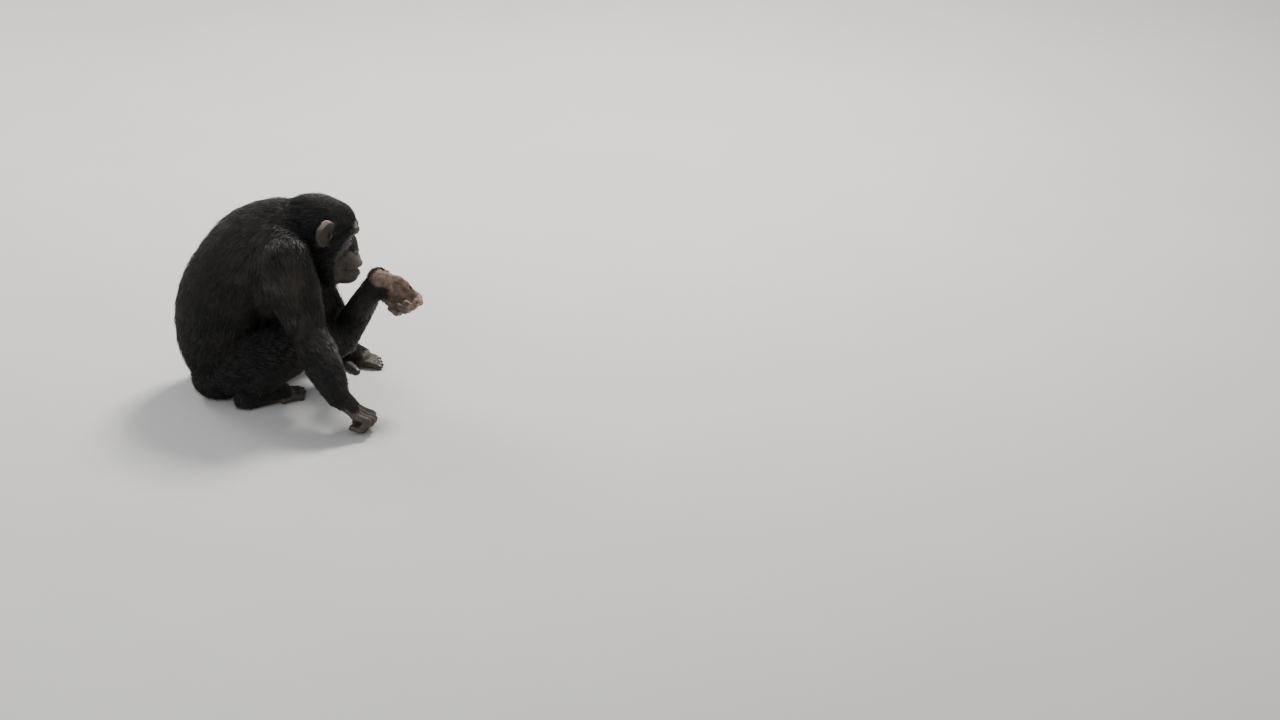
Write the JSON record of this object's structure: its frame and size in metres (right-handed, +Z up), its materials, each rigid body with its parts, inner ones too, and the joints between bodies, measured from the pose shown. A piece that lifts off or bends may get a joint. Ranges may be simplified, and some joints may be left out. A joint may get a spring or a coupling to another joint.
{
  "type": "chimpanzee figure",
  "caption": "Life-size still model of a young adult chimpanzee sitting on the ground, leaning on the knuckles of one hand, the other hand held out.",
  "frame": {"origin": "on the floor, at a point of the flat of the seat, under the middle of the pelvis", "axes": "+X the way the animal faces, +Y to its left, +Z up from the floor"},
  "size_m": [0.6759, 0.54, 0.5648],
  "materials": {
    "coat": "sleek black hair with a soft grey sheen and a slight brown cast on shoulder and forearm",
    "face_skin": "bare dark tan to grey skin of the face, fine creases, under a crown and cheeks of black hair",
    "hand_and_foot_skin": "bare brown skin of palms, soles and fingers, creased, grey on the knuckles",
    "ear_skin": "thin pale pinkish skin of the ears, matt",
    "eye": "wet dark brown eye"
  },
  "bodies": {
    "root": {"head": "face_skin", "neck": "coat", "chest": "coat", "belly": "coat", "pelvis": "coat", "eye_left": "eye", "ear_left": "ear_skin", "upper_arm_left": "coat", "forearm_left": "coat", "hand_left": "hand_and_foot_skin", "thigh_left": "coat", "shin_left": "coat", "foot_left": "hand_and_foot_skin", "eye_right": "eye", "ear_right": "ear_skin", "upper_arm_right": "coat", "forearm_right": "coat", "hand_right": "hand_and_foot_skin", "thigh_right": "coat", "shin_right": "coat", "foot_right": "hand_and_foot_skin"}
  },
  "joints": []
}
